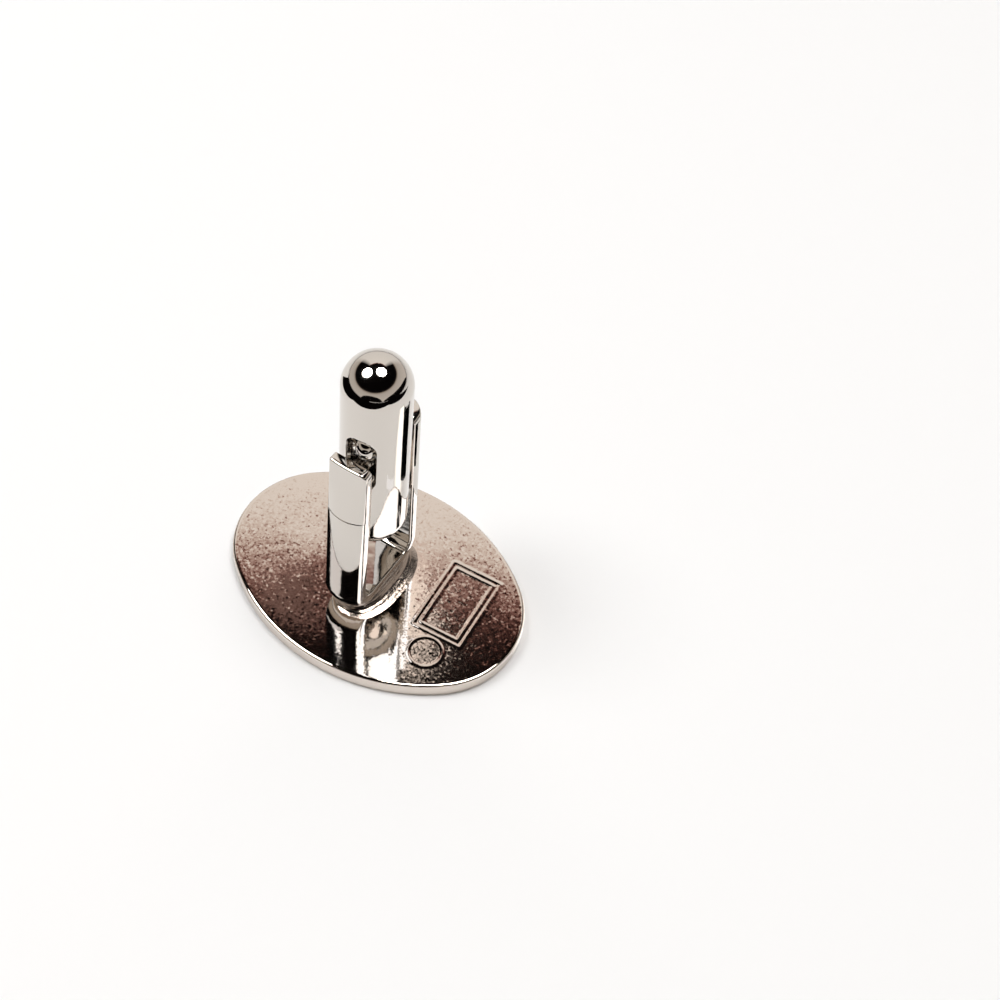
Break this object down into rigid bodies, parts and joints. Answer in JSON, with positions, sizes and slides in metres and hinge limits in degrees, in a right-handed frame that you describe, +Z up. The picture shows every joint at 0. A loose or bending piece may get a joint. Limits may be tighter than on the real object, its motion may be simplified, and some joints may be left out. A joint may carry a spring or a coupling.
{
  "type": "cufflink",
  "caption": "Cufflink lying face down on its oval plate, with a forked post and a bullet-shaped swivel bar that turns on a pin to lock behind the cuff.",
  "frame": {"origin": "centre of the oval face's front, on the surface that it lies on", "axes": "+Z up along the post and the bar at rest, X along the oval's long axis, Y from arm to arm of the fork along the hinge pin"},
  "size_m": [0.0224, 0.0162, 0.0249],
  "materials": {
    "face_metal": "nickel-plated brass, the plate stamped and lightly pitted, the fork polished",
    "pin_metal": "drawn steel rod",
    "bar_metal": "nickel-plated brass, turned and polished"
  },
  "bodies": {
    "face": {"face_and_fork": "face_metal", "hinge_pin": "pin_metal"},
    "bar": {"swivel_bar": "bar_metal"}
  },
  "joints": [
    {"name": "bar_swivel", "type": "hinge", "parent": "face", "child": "bar", "pos_m": [-0.0005, -0.0002, 0.016], "axis": [0, 1, 0], "range_deg": [-90, 90]}
  ]
}
